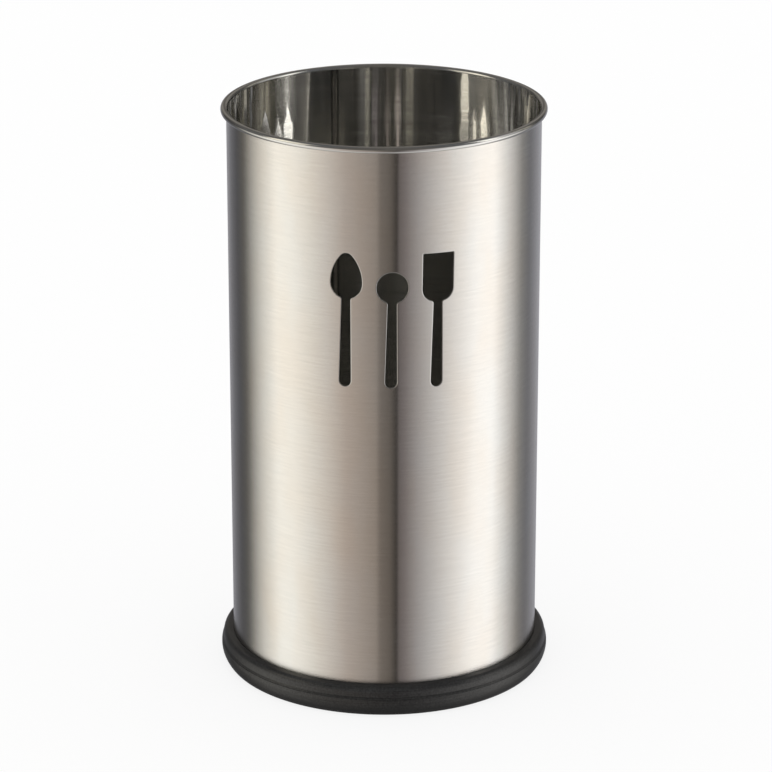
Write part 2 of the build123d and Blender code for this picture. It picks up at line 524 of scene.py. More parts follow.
def leaned(rows, lean, foot):
    """A figure's rows leaned to the right about its foot and lifted to its foot's height."""
    cos, sin = math.cos(lean), math.sin(lean)
    turn = np.array([[cos, -sin], [sin, cos]])
    moved = np.hstack([rows[:, :2] @ turn, rows[:, 2:] @ turn])
    moved[:, 1] += foot
    return moved


def placed_figures(tube, figures):
    """Each figure's rows and the angle of its middle, the three leaning as one."""
    foot_line = tube.height - figures.below_rim - figures.tall
    placed = []
    for place, half in ((-1, spoon_half), (0, ladle_half), (1, spatula_half)):
        turn = place * figures.pitch * math.cos(figures.lean) / (tube.diameter / 2)
        foot = foot_line - place * figures.pitch * math.sin(figures.lean)
        placed.append((leaned(whole_figure(half(figures)), figures.lean, foot), turn))
    return placed


def figure_rail(rows, turn, radius, outward, tilt):
    """One line of points round a figure's edge, and its normals.

    outward is how far the line lies outside the figure. tilt turns the normal from square
    out of the wall, at 0, to straight into the hole, at 90, and square into the crock at 180."""
    across = rows[:, 0] + outward * rows[:, 2]
    up = rows[:, 1] + outward * rows[:, 3]
    angles = turn + np.arcsin(across / radius)
    points = np.stack([radius * np.sin(angles), -radius * np.cos(angles), up], 1)
    out = np.stack([np.sin(angles), -np.cos(angles), np.zeros(len(angles))], 1)
    right = np.array([math.cos(turn), math.sin(turn), 0.0])
    hole = -rows[:, 2:3] * right - rows[:, 3:4] * np.array([0.0, 0.0, 1.0])
    normals = out * math.cos(math.radians(tilt)) + hole * math.sin(math.radians(tilt))
    normals /= np.linalg.norm(normals, axis=1)[:, None]
    return points, normals, angles


def inside(points, loop):
    """Which points lie inside a closed loop, by counting crossings to the right."""
    x, y = points[:, 0][:, None], points[:, 1][:, None]
    ax, ay = loop[:, 0], loop[:, 1]
    bx, by = np.roll(ax, -1), np.roll(ay, -1)
    spans = (ay > y) != (by > y)
    with np.errstate(divide="ignore", invalid="ignore"):
        crossing = ax + (y - ay) * (bx - ax) / (by - ay)
    return (np.sum(spans & (x < crossing), axis=1) % 2).astype(bool)


def nearest(points, loop):
    """Distance from each point to the closest point of a loop."""
    return np.min(np.linalg.norm(points[:, None, :] - loop[None, :, :], axis=2), axis=1)


def holed_patch(skin, border, border_numbers, loops, loop_numbers, radius, facing, material):
    """Fills a rectangle of wall round the figures. Places are (distance round, height)."""
    left, right = border[:, 0].min(), border[:, 0].max()
    pitch = (right - left) / (2 * PATCH_COLUMNS)
    across = np.arange(left + pitch, right - pitch / 2, pitch)
    up = np.arange(PATCH_LOW + PATCH_PITCH, PATCH_HIGH - PATCH_PITCH / 2, PATCH_PITCH)
    filling = np.array([(a, u) for u in up for a in across])
    keep = np.ones(len(filling), bool)
    for loop in loops:
        keep &= ~inside(filling, loop) & (nearest(filling, loop) > FIGURE_MARGIN)
    filling = filling[keep]
    angles = filling[:, 0] / radius
    first = skin.add_points(
        np.stack([radius * np.sin(angles), -radius * np.cos(angles), filling[:, 1]], 1)
    )
    places = np.vstack([border, *loops, filling])
    numbers = np.hstack([border_numbers, *loop_numbers, first + np.arange(len(filling))])
    edges, start = [], 0
    for ring in (border, *loops):
        count = len(ring)
        edges += [(start + i, start + (i + 1) % count) for i in range(count)]
        start += count
    made = delaunay_2d_cdt(
        [Vector(place / MM) for place in places], edges, [], 0, PATCH_MERGE, True
    )
    used, triangles, sources = made[0], np.array(made[2]), made[3]
    if len(used) != len(places) or any(len(source) != 1 for source in sources):
        raise RuntimeError("the wall round the figures has points that fall together")
    source = np.array([s[0] for s in sources])
    middle = places[source[triangles]].mean(axis=1)
    solid = np.ones(len(triangles), bool)
    for loop in loops:
        solid &= ~inside(middle, loop)
    triangles = source[triangles[solid]]
    corner = places[triangles]
    first_side, second_side = corner[:, 1] - corner[:, 0], corner[:, 2] - corner[:, 0]
    area = first_side[:, 0] * second_side[:, 1] - first_side[:, 1] * second_side[:, 0]
    flip = area * facing < 0
    triangles[flip] = triangles[flip][:, ::-1]
    around = places[triangles][:, :, 0] / radius
    normals = facing * np.stack(
        [np.sin(around), -np.cos(around), np.zeros_like(around)], 2
    )
    skin.add_faces(numbers[triangles], normals, material)


# Pieces


# Materials of the tube, by number
OUTSIDE, INSIDE, EDGE, RIM = range(4)

# Piece of the wall that is filled in round the figures: columns each way from the front,
# heights, distance between its rows, room that its own points leave round a figure, and
# millimetres within which two points would fall together
PATCH_COLUMNS = 27
PATCH_LOW, PATCH_HIGH = 105 * MM, 160 * MM
PATCH_PITCH = 1.25 * MM
FIGURE_MARGIN = 0.35 * MM
PATCH_MERGE = 1e-6

# Distance between the wall's other rows
ROW_PITCH = 5 * MM

# Degrees that the curl stops short, for its rounded end
CURL_TRIM = 2

# Share of the weld's width that is flat
WELD_FLAT = 0.45

# Columns across the weld, in millimetres from its middle
WELD_COLUMNS = (-0.92, -0.84, -0.72, -0.6, -0.48, -0.3, 0, 0.3, 0.48, 0.6, 0.72, 0.84, 0.92)

# Steps, in degrees, of the edge that the punch drew in, and of the edge on the inside
OUTER_STEPS = (0, 15, 30, 45, 60, 75, 90)
INNER_STEPS = (90, 135, 180)

# Radii and heights that are closer than this are the same
SAME = 1e-7


def wall_heights(low, high, pitch):
    """Heights of the wall's rows, with rows at the ends of the patch with the figures."""
    marks = [low, PATCH_LOW, PATCH_HIGH, high]
    rows = [low]
    for start, end in zip(marks[:-1], marks[1:]):
        count = max(1, round((end - start) / pitch))
        rows += [start + (end - start) * (i + 1) / count for i in range(count)]
    return rows


def tube_middle(tube):
    """Middle line of the tube's sheet: flange, bend, wall and curl."""
    wall = tube.diameter / 2 - tube.sheet / 2
    bend = tube.flange_bend
    bead = tube.bead_diameter / 2
    bead_height = tube.height - bead
    flange_end = tube.diameter / 2 + tube.flange_width - tube.edge_round
    bead_centre = tube.diameter / 2 - tube.sheet + bead
    curl_reach = bead_centre - tube.diameter / 2 - tube.curl_gap
    curl_end = math.degrees(math.acos(curl_reach / bead)) - 180
    curl_radius = bead - tube.sheet / 2
    wall_foot = tube.flange_height + bend
    rows = wall_heights(wall_foot, bead_height, ROW_PITCH)
    shares = [(row - wall_foot) / (bead_height - wall_foot) for row in rows]
    return [
        line((flange_end, tube.flange_height), (wall + bend, tube.flange_height)),
        arc((wall + bend, wall_foot), bend, 270, 180, 6),
        line((wall, wall_foot), (wall, bead_height), shares),
        arc((bead_centre, bead_height), curl_radius, 180, curl_end + CURL_TRIM, 40),
    ]


def weld_place(tube):
    """The weld's angle from -Y towards +X."""
    return tube.weld_azimuth + math.pi / 2


def tube_angles(tube, count):
    """Angles of the tube's columns, from -pi to pi, with extra ones across the weld."""
    across = np.array(WELD_COLUMNS) * MM / (tube.diameter / 2 - tube.sheet)
    angles = round_columns(count, weld_place(tube) + across)
    return np.sort(np.where(angles > math.pi, angles - 2 * math.pi, angles))


def weld_relief(tube, angles, heights):
    """How far the weld stands in from the wall, and the slope of that round the wall."""
    away = (angles - weld_place(tube) + math.pi) % (2 * math.pi) - math.pi
    around = away * (tube.diameter / 2 - tube.sheet)
    half, flat = tube.weld_width / 2, WELD_FLAT * tube.weld_width / 2
    t = np.clip((half - np.abs(around)) / (half - flat), 0, 1)
    ease = t * t * (3 - 2 * t)
    slope = -np.sign(around) * 6 * t * (1 - t) / (half - flat)
    fade = np.clip((heights - tube.weld_foot) / MM, 0, 1)
    fade *= np.clip((tube.height - tube.bead_diameter / 2 - heights) / MM, 0, 1)
    return tube.weld_height * ease * fade, tube.weld_height * slope * fade


def raise_weld(skin, tube, angles, heights, on_inner):
    """Moves the weld in from the wall, among the first points and faces of the skin."""
    inner = tube.diameter / 2 - tube.sheet
    columns = len(angles)
    grid = skin.points[0].reshape(len(heights), columns, 3)
    for row in np.flatnonzero(on_inner):
        relief, _ = weld_relief(tube, angles, heights[row])
        grid[row, :, 0] = (inner - relief) * np.sin(angles)
        grid[row, :, 1] = -(inner - relief) * np.cos(angles)
    skin.points[0] = grid.reshape(-1, 3)
    quads, normals = skin.faces[0], skin.normals[0].reshape(-1, 4, 3)
    quad_row, quad_column = quads // columns, quads % columns
    inner_quad = np.all(on_inner[quad_row], axis=1)
    around = angles[quad_column[inner_quad]]
    _, slope = weld_relief(tube, around, heights[quad_row[inner_quad]])
    toward = np.stack([-np.sin(around), np.cos(around), np.zeros_like(around)], 2)
    along = np.stack([np.cos(around), np.sin(around), np.zeros_like(around)], 2)
    bent = toward - slope[..., None] * along
    normals[inner_quad] = bent / np.linalg.norm(bent, axis=2)[..., None]
    skin.normals[0] = normals.reshape(-1, 3)


def figure_edges(skin, tube, figures):
    """Adds the edges of the cut-outs. Returns each figure's lines and their point numbers."""
    outer = tube.diameter / 2
    inner = outer - tube.sheet
    edges = []
    for shape, turn in placed_figures(tube, figures):
        lines = []
        for step in OUTER_STEPS:
            rise, run = math.cos(math.radians(step)), math.sin(math.radians(step))
            sunk = figures.roll_depth * (1 - rise)
            away = figures.roll_width * (1 - run)
            tilt = heading_of((rise * figures.roll_width, run * figures.roll_depth))
            lines.append(figure_rail(shape, turn, outer - sunk, away, tilt))
        for tilt in INNER_STEPS:
            sunk = figures.inner_round * (1 + math.cos(math.radians(tilt)))
            away = figures.inner_round * (1 - math.sin(math.radians(tilt)))
            lines.append(figure_rail(shape, turn, inner + sunk, away, tilt))
        numbers = [skin.add_points(points) + np.arange(len(points)) for points, _, _ in lines]
        edges.append((lines, numbers))
        for index in range(len(lines) - 1):
            upper, lower = numbers[index], numbers[index + 1]
            top, low = lines[index][1], lines[index + 1][1]
            faces = np.stack([upper, np.roll(upper, -1), np.roll(lower, -1), lower], 1)
            corner = np.stack([top, np.roll(top, -1, 0), np.roll(low, -1, 0), low], 1)
            material = RIM if index < len(OUTER_STEPS) - 1 else EDGE
            skin.add_faces(faces, corner, material)
    return edges


def patch_border(rows, left, right):
    """Row and column of each point once round the patch."""
    across = np.arange(left, right + 1)
    places = [(rows[0], column) for column in across]
    places += [(row, right) for row in rows[1:]]
    places += [(rows[-1], column) for column in across[-2::-1]]
    places += [(row, left) for row in rows[-2:0:-1]]
    return places


def build_tube(settings):
    """Tube with flange, curled rim, weld and the cut-out figures."""
    tube, finish = settings.tube, settings.finish
    outer = tube.diameter / 2
    inner = outer - tube.sheet
    angles = tube_angles(tube, finish.columns)
    middle = tube_middle(tube)
    strokes = sheet_outline(middle, tube.sheet, tube.edge_round)
    points, _ = outline_rows(strokes)
    rows, columns = len(points), len(angles)

    radii, heights = points[:, 0], points[:, 1]
    on_outer = np.isclose(radii, outer, atol=SAME)
    on_inner = np.isclose(radii, inner, atol=SAME)
    in_patch = (heights > PATCH_LOW - SAME) & (heights < PATCH_HIGH + SAME)
    after = (np.arange(rows) + 1) % rows
    patch_step = in_patch & in_patch[after] & (on_outer | on_inner)
    front = int(np.argmin(np.abs(angles)))
    left, right = front - PATCH_COLUMNS, front + PATCH_COLUMNS

    def cut(row, column):
        return patch_step[row] & (column >= left) & (column < right)

    materials = np.full(rows, OUTSIDE)
    materials[heights > tube.height - tube.bead_diameter + 10 * SAME] = RIM
    materials[on_inner & on_inner[after]] = INSIDE
    starts = np.cumsum([0] + [len(stroke) - 1 for stroke in strokes])
    curl_end, flange_end = len(middle), len(strokes) - 3
    for index in (*range(curl_end, curl_end + 3), *range(flange_end, flange_end + 3)):
        materials[starts[index]:starts[index + 1]] = EDGE

    skin = Skin()
    spin(skin, strokes, angles, materials, cut)
    raise_weld(skin, tube, angles, heights, on_inner)
    edges = figure_edges(skin, tube, settings.figures)
    for on_side, radius, end, facing, material in (
        (on_outer, outer, 0, 1, OUTSIDE), (on_inner, inner, -1, -1, INSIDE),
    ):
        side_rows = np.flatnonzero(on_side & in_patch)
        side_rows = side_rows[np.argsort(heights[side_rows])]
        places = patch_border(side_rows, left, right)
        border = np.array([(radius * angles[c], heights[r]) for r, c in places])
        border_numbers = np.array([r * columns + c for r, c in places])
        loops = [
            np.stack([radius * lines[end][2], lines[end][0][:, 2]], 1)
            for lines, _ in edges
        ]
        loop_numbers = [numbers[end] for _, numbers in edges]
        holed_patch(skin, border, border_numbers, loops, loop_numbers, radius, facing,
                    material)

    look = [brushed_steel(finish), rolled_steel(settings), cut_steel(finish), rim_steel(finish)]
    piece = skin.build("steel_tube", look)
    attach(piece, "root")
    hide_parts("shell")


def build_bottom(settings):
    """Pressed floor with its raised panel and the hook of the seam."""
    tube, bottom = settings.tube, settings.bottom
    pitch = tube.sheet + bottom.seam_gap
    flange = tube.diameter / 2 + tube.flange_width
    chuck = tube.diameter / 2 - tube.sheet / 2 - pitch
    panel = chuck - bottom.panel_margin
    bend = tube.flange_bend + pitch
    low = bottom.hook_height
    middle = rounded_path([
        ((0, bottom.panel_height), 0),
        ((panel, bottom.panel_height), bottom.panel_bend),
        ((panel + bottom.step_run, bottom.floor_height), bottom.panel_bend),
        ((chuck, bottom.floor_height), bottom.floor_bend),
        ((chuck, low), bend),
        ((flange, low), 0),
    ], pieces=8)
    middle[0] = line(middle[0][0, :2], middle[0][-1, :2], np.linspace(0, 1, 12))
    middle.append(arc((flange, low + pitch), pitch, -90, 90, 10))
    hook_top = low + 2 * pitch
    hook_end = tube.diameter / 2 - tube.sheet / 2 + tube.flange_bend + tube.edge_round
    middle.append(line((flange, hook_top), (hook_end, hook_top)))
    strokes = sheet_outline(middle, tube.sheet, tube.edge_round, closed_at_start=False)
    angles = round_columns(settings.finish.columns)
    skin = Skin()
    spin_to_axis(skin, strokes, angles)
    piece = skin.build("steel_bottom", [turned_steel(settings.finish)])
    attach(piece, "root")
    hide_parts("bottom_disc")


def spin_to_axis(skin, strokes, angles):
    """Turns an outline about Z that starts and ends on the axis."""
    points, sides = outline_rows(strokes)
    rows = np.vstack([points, strokes[-1][-1:, :2]])
    columns = len(angles)
    grid = spun(rows[1:-1, 0], rows[1:-1, 1], angles).reshape(-1, 3)
    first = skin.add_points(grid)
    poles = skin.add_points(np.array([(0, 0, rows[0, 1]), (0, 0, rows[-1, 1])]))
    column = np.arange(columns)
    beside, after = np.roll(column, -1), np.roll(angles, -1)
    for row in range(len(rows) - 1):
        start, end = sides[row]
        here, there = first + (row - 1) * columns, first + row * columns
        if row == 0:
            faces = [np.full(columns, poles), there + beside, there + column]
            ends = [(start, angles), (end, after), (end, angles)]
        elif row == len(rows) - 2:
            faces = [here + column, here + beside, np.full(columns, poles + 1)]
            ends = [(start, angles), (start, after), (end, angles)]
        else:
            faces = [here + column, here + beside, there + beside, there + column]
            ends = [(start, angles), (start, after), (end, after), (end, angles)]
        normals = [spun_normals(side, turn) for side, turn in ends]
        skin.add_faces(np.stack(faces, 1), np.stack(normals, 1), 0)


def ring_outside(ring, radius, height):
    """Outline of the ring's outside, from its foot up to the lip."""
    band = (ring.foot_tuck**2 + ring.widest_height**2) / (2 * ring.foot_tuck)
    groove_low = ring.groove_height - ring.groove_width / 2
    groove_top = ring.groove_height + ring.groove_width / 2
    foot_angle = math.degrees(math.asin(ring.widest_height / band))
    top_angle = math.degrees(math.asin((groove_low - ring.widest_height) / band))
    centre = (radius - band, ring.widest_height)
    lower = arc(centre, band, -foot_angle, top_angle, 20)
    upper_radius = radius - ring.band_step
    rise = height - groove_top
    upper_band = (ring.lip_taper**2 + rise**2) / (2 * ring.lip_taper)
    upper_angle = math.degrees(math.asin((rise - ring.lip_fall) / upper_band))
    upper = arc((upper_radius - upper_band, groove_top), upper_band, 0, upper_angle, 14)
    edge = lower[-1, :2]
    knee = (upper_radius, groove_top + ring.flare_height)
    groove = rounded_path([
        (lower[-3, :2], 0),
        (edge, ring.groove_round),
        ((edge[0] - ring.groove_depth, ring.groove_height), ring.groove_round / 2),
        ((upper_radius + ring.flare, groove_top), ring.groove_round),
        (knee, ring.flare_height),
        (upper[4, :2], 0),
    ], pieces=4)
    return [lower[2:-2]] + groove + [upper[4:-5]], lower, upper


def build_ring(settings):
    """Moulded foot ring: two convex bands, a fine groove, lip, snap bead and ledge."""
    tube, ring = settings.tube, settings.ring
    radius, height = RING_HIGH.x, RING_HIGH.z
    outside, lower, upper = ring_outside(ring, radius, height)
    cavity = radius - ring.wall
    snap = cavity - ring.seam_clearance - ring.snap_hold
    lip = tube.diameter / 2 + ring.lip_clearance
    lip_foot = height - ring.lip_land
    snap_top = ring.snap_height + ring.snap_land
    bore = cavity - ring.ledge_width
    shoulder, lip_edge = upper[-6], upper[-1, 1]
    lean = (lip_edge - shoulder[1]) * shoulder[2] / shoulder[3]
    lip_path = rounded_path([
        (shoulder[:2], 0),
        ((shoulder[0] + lean, lip_edge), ring.lip_outer_round),
        ((lip, height - ring.lip_sink), ring.lip_inner_round),
        ((lip, lip_foot), ring.edge_round),
        ((cavity, lip_foot - ring.lip_slope), 0),
        ((cavity, snap_top + ring.snap_ramp), 0),
        ((snap, snap_top), ring.snap_round),
        ((snap, ring.snap_height), ring.snap_round),
        ((cavity, ring.snap_height), 0),
        ((cavity, ring.ledge_thickness), 0),
        ((bore, ring.ledge_thickness), ring.edge_round),
        ((bore, 0), ring.edge_round),
        (lower[0, :2], ring.foot_round),
        (lower[2, :2], 0),
    ], pieces=6)
    strokes = outside + lip_path
    angles = round_columns(settings.finish.columns)
    skin = Skin()
    spin(skin, strokes, angles, np.zeros(len(outline_rows(strokes)[0]), int))
    piece = skin.build("foot_ring", [moulded_plastic(settings.finish)])
    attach(piece, "root")
    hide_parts("base_ring")


# Materials


def new_material(name):
    """An empty material and the function that adds its nodes."""
    material = bpy.data.materials.new(name)
    material.use_nodes = True
    tree = material.node_tree
    tree.nodes.clear()
    return material, node_adder(tree)


def node_adder(tree):
    """A function that adds a node: inputs are values, or sockets to link from."""

    def add(kind, inputs=(), **settings):
        node = tree.nodes.new(kind)
        for key, value in settings.items():
            setattr(node, key, value)
        for key, value in dict(inputs).items():
            if isinstance(value, bpy.types.NodeSocket):
                tree.links.new(value, node.inputs[key])
            else:
                node.inputs[key].default_value = value
        return node

    return add


def noise(add, frequency, offset=(0, 0, 0), detail=3.0, roughness=0.6):
    """Soft noise from 0 to 1, with about frequency features a millimetre along each axis."""
    place = add("ShaderNodeTexCoord").outputs["Object"]
    scale = [value / MM for value in frequency]
    place = add("ShaderNodeMapping", {"Vector": place, "Scale": scale, "Location": offset})
    inputs = {"Scale": 1.0, "Detail": detail, "Roughness": roughness}
    node = add("ShaderNodeTexNoise", {"Vector": place.outputs["Vector"], **inputs})
    return node.outputs["Fac"]


def span(add, value, low, high, start=0.0, end=1.0):
    """The value, from start to end, mapped to low to high and held there."""
    node = add(
        "ShaderNodeMapRange",
        {"Value": value, "From Min": start, "From Max": end, "To Min": low, "To Max": high},
        clamp=True,
    )
    return node.outputs["Result"]


def math_node(add, operation, first, second=0.0):
    """Result of a Math node."""
    node = add("ShaderNodeMath", {0: first, 1: second}, operation=operation)
    return node.outputs["Value"]


def plus(add, first, second):
    """The sum of two numbers."""
    return math_node(add, "ADD", first, second)


def times(add, first, second):
    """The product of two numbers."""
    return math_node(add, "MULTIPLY", first, second)


def gap_between(add, first, second):
    """How far one number is from another."""
    return math_node(add, "ABSOLUTE", math_node(add, "SUBTRACT", first, second))


def vector_node(add, operation, first, second=(0, 0, 0)):
    """Result of a Vector Math node."""
    node = add("ShaderNodeVectorMath", {0: first, 1: second}, operation=operation)
    return node.outputs["Value" if operation == "DOT_PRODUCT" else "Vector"]


def shaded(add, colour, factor):
    """The colour multiplied by the factor."""
    node = add("ShaderNodeVectorMath", {0: colour, "Scale": factor}, operation="SCALE")
    return node.outputs["Vector"]


# Numbers of a Mix node's two colour inputs and of its colour output
MIX_FIRST, MIX_SECOND, MIX_RESULT = 6, 7, 2


def blend(add, factor, first, second):
    """The first colour where the factor is 0, the second where it is 1, mixed between."""
    first, second = (
        colour if isinstance(colour, bpy.types.NodeSocket) else (*colour, 1.0)
        for colour in (first, second)
    )
    inputs = {"Factor": factor, MIX_FIRST: first, MIX_SECOND: second}
    return add("ShaderNodeMix", inputs, data_type="RGBA").outputs[MIX_RESULT]


def own_place(add):
    """Coordinates of the point on the piece itself, as outputs X, Y and Z."""
    place = add("ShaderNodeTexCoord").outputs["Object"]
    return add("ShaderNodeSeparateXYZ", {"Vector": place}).outputs


def folds(add, turn, frequency, detail):
    """Noise from 0 to 1 by an angle alone, with about frequency features a degree."""
    node = add(
        "ShaderNodeTexNoise",
        {"W": times(add, turn, frequency), "Scale": 1.0, "Detail": detail},
        noise_dimensions="1D",
    )
    return node.outputs["Fac"]


def fine_scatter(add, reach, rare=False):
    """Slope of lines too fine to see, up to reach either way, or mostly near 0 if rare."""
    place = add("ShaderNodeTexCoord").outputs["Object"]
    grain = add("ShaderNodeTexWhiteNoise", {"Vector": place}).outputs["Value"]
    slope = span(add, grain, -1.0, 1.0)
    if rare:
        slope = times(add, times(add, slope, slope), slope)
    return times(add, slope, reach)


def tilted(add, up, around=0.0):
    """The surface's normal leaned up Z and turned round Z, each by a small slope."""
    normal = add("ShaderNodeNewGeometry").outputs["Normal"]
    beside = vector_node(add, "CROSS_PRODUCT", (0, 0, 1), normal)
    lifted = add("ShaderNodeCombineXYZ", {"Z": up}).outputs["Vector"]
    lean = vector_node(add, "ADD", shaded(add, beside, around), lifted)
    return vector_node(add, "NORMALIZE", vector_node(add, "ADD", normal, lean))


def finish_metal(add, colour, roughness, normal, anisotropy):
    """Metal whose fine lines run round Z, so that highlights spread across the lines."""
    tangent = add("ShaderNodeTangent", direction_type="RADIAL", axis="Z")
    shader = add(
        "ShaderNodeBsdfPrincipled",
        {
            "Base Color": colour,
            "Metallic": 1.0,
            "Roughness": roughness,
            "Anisotropic": anisotropy,
            "Anisotropic Rotation": 0.25,
            "Normal": normal,
            "Tangent": tangent.outputs["Tangent"],
        },
    )
    add("ShaderNodeOutputMaterial", {"Surface": shader.outputs["BSDF"]})


def brushed_steel(finish):
    """Outside of the tube: brushed round and round with a belt."""
    material, add = new_material("brushed_steel_outside")
    hair = noise(add, (0.1, 0.1, 2.4), detail=4.0, roughness=0.75)
    streak = noise(add, (0.02, 0.02, 1.6), offset=(5, 3, 1))
    patch = noise(add, (0.07, 0.07, 0.03), offset=(2, 7, 4), detail=2.0, roughness=0.5)
    hairlines = span(add, hair, -0.055, 0.055, 0.25, 0.75)
    streaks = span(add, streak, -0.015, 0.015, 0.25, 0.75)
    patches = span(add, patch, 0.975, 1.02, 0.3, 0.7)
    tone = plus(add, plus(add, hairlines, streaks), patches)
    coolness = span(add, patch, 0.0, 1.0, 0.3, 0.7)
    colour = shaded(add, blend(add, coolness, finish.brushed_warm, finish.brushed), tone)
    rough = finish.brushed_roughness
    roughness = plus(
        add, span(add, hair, -0.03, 0.03, 0.2, 0.8),
        span(add, patch, rough - 0.01, rough + 0.01, 0.3, 0.7),
    )
    wave = noise(add, (0.05, 0.05, 0.006), offset=(9, 1, 0), detail=0.0)
    swing = span(add, wave, -0.005, 0.005, 0.3, 0.7)
    finish_metal(add, colour, roughness, tilted(add, fine_scatter(add, 0.12), swing), 1.0)
    return material


def rim_steel(finish):
    """Curled rim: burnished by the roll that curled it."""
    material, add = new_material("curled_rim_steel")
    hair = noise(add, (0.05, 0.05, 6.0), offset=(6, 2, 5))
    colour = shaded(add, tuple(finish.brushed), span(add, hair, 0.94, 1.03, 0.3, 0.7))
    rough = finish.rim_roughness
    roughness = span(add, hair, rough - 0.03, rough + 0.05, 0.3, 0.7)
    normal = add("ShaderNodeNewGeometry").outputs["Normal"]
    finish_metal(add, colour, roughness, normal, 0.4)
    return material


# Millimetres added to the distance from the weld on the side of the crock opposite to it
FAR_SIDE = 1000.0


def beside_weld(add, tube):
    """Millimetres across from the weld's middle line, over FAR_SIDE on the other side."""
    place = Vector((math.cos(tube.weld_azimuth), math.sin(tube.weld_azimuth), 0.0))
    across = Vector((-place.y, place.x, 0.0)) / MM
    position = add("ShaderNodeTexCoord").outputs["Object"]
    aside = math_node(add, "ABSOLUTE", vector_node(add, "DOT_PRODUCT", position, across))
    facing = vector_node(add, "DOT_PRODUCT", position, place)
    other_side = math_node(add, "LESS_THAN", facing, 0.0)
    return plus(add, aside, times(add, other_side, FAR_SIDE))


# Soft dents under the rim, left by the curling roll, that catch the light. Each widens
# evenly from a point at its top, in as many millimetres as DENT_TAPER says. The columns are
# its name, its place in degrees from the back towards +X, half of its full width in degrees,
# its top in millimetres below the rim, its slope, and its soft edge in degrees.
DENT_TAPER = 10.0
DENTS = (
    ("far left", -58.0, 1.2, -4.0, 0.43, 0.7),
    ("left, outer", -49.0, 4.2, 9.5, 0.34, 0.7),
    ("left, middle", -42.2, 3.6, 12.0, 0.35, 1.4),
    ("left, inner", -37.1, 2.8, 8.0, 0.36, 1.0),
    ("left, inner, above", -37.2, 2.2, -10.0, 0.18, 2.2),
    ("right, inner", 34.6, 2.4, -6.0, 0.262, 0.9),
    ("right, middle", 39.2, 2.5, 9.5, 0.33, 1.8),
    ("right, outer", 43.9, 3.1, 7.0, 0.35, 1.8),
)


def from_the_back(add):
    """Degrees round the wall from the back towards +X."""
    place = own_place(add)
    return math_node(add, "DEGREES", math_node(add, "ARCTAN2", place["X"], place["Y"]))


def bellied(add, depth):
    """Slope of the wall up and down: a fluted belly at each side, and the dents.

    depth is in millimetres below the rim."""
    ragged = noise(add, (0.3, 0.3, 0.12), offset=(5, 5, 5), detail=2.0)
    turn = plus(add, from_the_back(add), span(add, ragged, -0.5, 0.5, 0.3, 0.7))
    aside = math_node(add, "ABSOLUTE", turn)
    near, far = span(add, aside, 0.0, 1.0, 49.0, 53.0), span(add, aside, 1.0, 0.0, 84.0, 90.0)
    fluting = span(add, folds(add, turn, 0.3, 2.0), -0.05, 0.15, 0.4, 0.62)
    belly = plus(add, span(add, aside, 0.1, 0.36, 52.0, 80.0), fluting)
    total = times(add, belly, times(add, near, far))
    for _, middle, half, top, slope, soft in DENTS:
        reach = span(add, depth, 0.0, half, top, top + DENT_TAPER)
        inward = math_node(add, "SUBTRACT", reach, gap_between(add, turn, middle))
        total = math_node(add, "MAXIMUM", span(add, inward, 0.0, slope, 0.0, soft), total)
    return total


def rolled_steel(settings):
    """Inside of the tube: bright rolled sheet with fine lines, and the weld's tint."""
    finish, tube = settings.finish, settings.tube
    material, add = new_material("rolled_steel_inside")
    hair = noise(add, (0.04, 0.04, 6.0), detail=4.0, roughness=0.7)
    scratch = noise(add, (0.03, 0.03, 1.4), offset=(4, 8, 2), detail=2.0, roughness=0.8)
    tone = plus(add, span(add, hair, 0.86, 1.08, 0.2, 0.8),
                span(add, scratch, -0.12, 0.12, 0.3, 0.7))

    # The weld is tinted, and each of its toes is a dark line
    distance = beside_weld(add, tube)
    half = tube.weld_width / 2 / MM
    band = span(add, distance, 1.0, 0.0, 0.9 * half, 1.4 * half)
    from_toe = gap_between(add, distance, 1.05 * half)
    toe = span(add, from_toe, 0.35, 1.0, 0.2 * half, 0.65 * half)
    colour = shaded(add, blend(add, band, finish.rolled, finish.weld), times(add, tone, toe))

    # Rougher on the weld, and a little duller further down
    depth = math_node(add, "SUBTRACT", tube.height, own_place(add)["Z"])
    depth = math_node(add, "DIVIDE", depth, MM)
    rough = finish.rolled_roughness
    roughness = plus(
        add, span(add, hair, rough - 0.01, rough + 0.02, 0.2, 0.8),
        plus(add, times(add, band, 0.1), span(add, depth, 0.0, 0.13, 35.0, 65.0)),
    )

    # Slow waves round the wall, and another curvature near the back
    wave = noise(add, (0.12, 0.12, 0.02), offset=(3, 1, 7), detail=1.0)
    turn = math_node(add, "SUBTRACT", from_the_back(add), 3.7)
    aside = math_node(add, "ABSOLUTE", turn)
    peak = times(add, span(add, turn, 0.065, -0.065, -14.0, 14.0),
                 span(add, aside, 1.0, 0.0, 14.0, 30.0))
    swing = plus(add, span(add, wave, 0.024, 0.034, 0.3, 0.7), peak)
    swing = times(add, swing, span(add, turn, -2.0, 1.0, -62.0, -30.0))

    # Fine lines that spread light up and down, most of all near the back and the rim
    scatter = times(add, fine_scatter(add, 0.38, rare=True),
                    span(add, aside, 1.0, 0.08, 45.0, 54.0))
    scatter = times(add, scatter, span(add, depth, 1.0, 0.2, 30.0, 60.0))
    up = plus(add, scatter, bellied(add, depth))
    finish_metal(add, colour, roughness, tilted(add, up, swing), 1.0)
    return material


